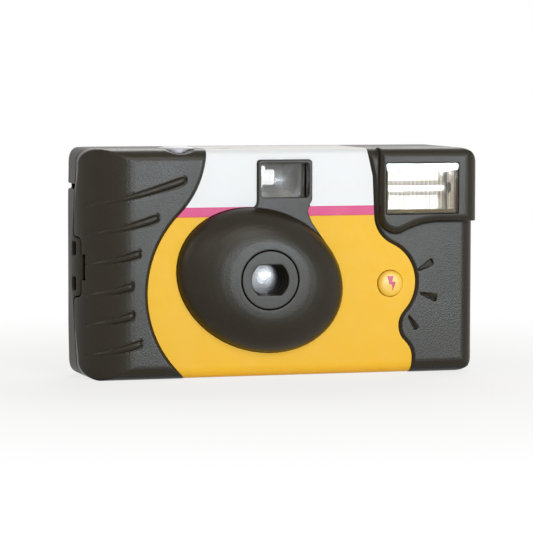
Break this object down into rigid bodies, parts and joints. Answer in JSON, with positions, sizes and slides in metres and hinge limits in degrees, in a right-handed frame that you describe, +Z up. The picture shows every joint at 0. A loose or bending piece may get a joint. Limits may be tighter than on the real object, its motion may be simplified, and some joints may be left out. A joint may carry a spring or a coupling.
{
  "type": "disposable film camera",
  "caption": "Single-use 35 mm film camera with built-in flash: dark ribbed grip, domed lens, yellow wrap label, sprung buttons and a winding wheel",
  "frame": {"origin": "middle of the bounding box on the surface that the camera stands on", "axes": "+X is to the right seen from in front of the lens, +Y is from the lens to the back, +Z is up"},
  "size_m": [0.116, 0.0383, 0.0652],
  "materials": {
    "dark_shell": "fine spark-eroded texture, moulded",
    "dark_rear": "fine spark-eroded texture, moulded",
    "label_print": "printed film label, satin",
    "inner_black": "plain moulded",
    "inner_grey": "plain moulded",
    "lens_clear": "polished, clear plastic optics",
    "window_clear": "polished clear plastic",
    "reflector": "vacuum-metallised",
    "board_brown": "paper laminate",
    "can_blue": "shrink sleeve",
    "winding": "enamelled copper wire",
    "chips": "moulded",
    "lamp_amber": "clear, tinted",
    "spring_brass": "rolled strip",
    "plated_steel": "nickel plated",
    "cell_jacket": "printed sleeve",
    "can_metal": "lacquered tin",
    "film": "film base",
    "button_silver": "satin, metallic pigment",
    "button_yellow": "moulded",
    "wheel_dark": "moulded",
    "gear_white": "acetal",
    "spring_steel": "drawn wire"
  },
  "bodies": {
    "housing": {"front_cover": "dark_shell", "rear_cover": "dark_rear", "wrap_label": "label_print", "main_frame": "inner_black", "viewfinder_tube": "inner_black", "mechanism_keeper": "inner_grey", "lens_board": "inner_black", "lens_retainer": "inner_black", "front_lens": "lens_clear", "aperture_stop": "inner_black", "rear_lens": "lens_clear", "viewfinder_lens": "lens_clear", "eyepiece_lens": "window_clear", "counter_window": "window_clear", "flash_window": "window_clear", "flash_reflector": "reflector", "flash_tube": "window_clear", "circuit_board": "board_brown", "flash_capacitor": "can_blue", "flash_transformer": "winding", "trigger_coil": "winding", "board_parts": "chips", "ready_lamp": "lamp_amber", "lamp_window": "lamp_amber", "charge_leaf": "spring_brass", "sync_contacts": "spring_brass", "battery": "cell_jacket", "positive_contact": "plated_steel", "negative_contact": "plated_steel", "cassette_can": "can_metal", "cassette_caps": "can_metal", "film_strip": "film", "wheel_pawl": "inner_grey", "striker_spring": "spring_steel", "blade_spring": "spring_steel"},
    "shutter_button": {"shutter_button": "button_silver"},
    "release_lever": {"release_lever": "inner_grey"},
    "flash_button": {"flash_button": "button_yellow"},
    "advance_wheel": {"thumbwheel": "wheel_dark", "cassette_spool": "inner_black"},
    "supply": {"supply_spool": "inner_black", "film_roll": "film"},
    "sprocket": {"sprocket": "gear_white", "meter_cam": "gear_white"},
    "counter": {"counter_wheel": "gear_white"},
    "striker": {"striker_lever": "plated_steel"},
    "blade": {"shutter_blade": "inner_black"}
  },
  "joints": [
    {"name": "shutter_press", "type": "slide", "parent": "housing", "child": "shutter_button", "axis": [0, 0, -1], "range_m": [0, 0.0012], "stiffness_N_per_m": 400},
    {"name": "release_tilt", "type": "hinge", "parent": "housing", "child": "release_lever", "pos_m": [-0.025, -0.0066, 0.0572], "axis": [0, -1, 0], "range_deg": [0, 22]},
    {"name": "flash_press", "type": "slide", "parent": "housing", "child": "flash_button", "axis": [0, 1, 0], "range_m": [0, 0.0008], "stiffness_N_per_m": 500},
    {"name": "wheel_turn", "type": "hinge", "parent": "housing", "child": "advance_wheel", "pos_m": [-0.0405, 0.00485, 0.0542], "axis": [0, 0, 1], "continuous": true},
    {"name": "supply_turn", "type": "hinge", "parent": "housing", "child": "supply", "pos_m": [0.0325, 0.0077, 0.028], "axis": [0, 0, 1], "continuous": true},
    {"name": "sprocket_turn", "type": "hinge", "parent": "housing", "child": "sprocket", "pos_m": [-0.019, 0.00985, 0.0542], "axis": [0, 0, 1], "continuous": true},
    {"name": "counter_turn", "type": "hinge", "parent": "housing", "child": "counter", "pos_m": [-0.01522, -0.00053, 0.0593], "axis": [0, 0, 1], "continuous": true},
    {"name": "striker_swing", "type": "hinge", "parent": "housing", "child": "striker", "pos_m": [-0.02, 0.002, 0.0563], "axis": [0, 0, 1], "range_deg": [-26, 0], "stiffness_Nm_per_rad": 0.004, "springref_deg": 11.46},
    {"name": "blade_swing", "type": "hinge", "parent": "housing", "child": "blade", "pos_m": [-0.0145, -0.00645, 0.034], "axis": [0, 1, 0], "range_deg": [0, 24], "stiffness_Nm_per_rad": 0.001, "springref_deg": -17.19}
  ],
  "couplings": [
    {"joint": "release_tilt", "follows": "shutter_press", "rad_per_m": 263.16},
    {"joint": "supply_turn", "follows": "wheel_turn", "ratio": 0.69318},
    {"joint": "sprocket_turn", "follows": "wheel_turn", "ratio": 1.0083},
    {"joint": "counter_turn", "follows": "wheel_turn", "ratio": -0.025207}
  ]
}
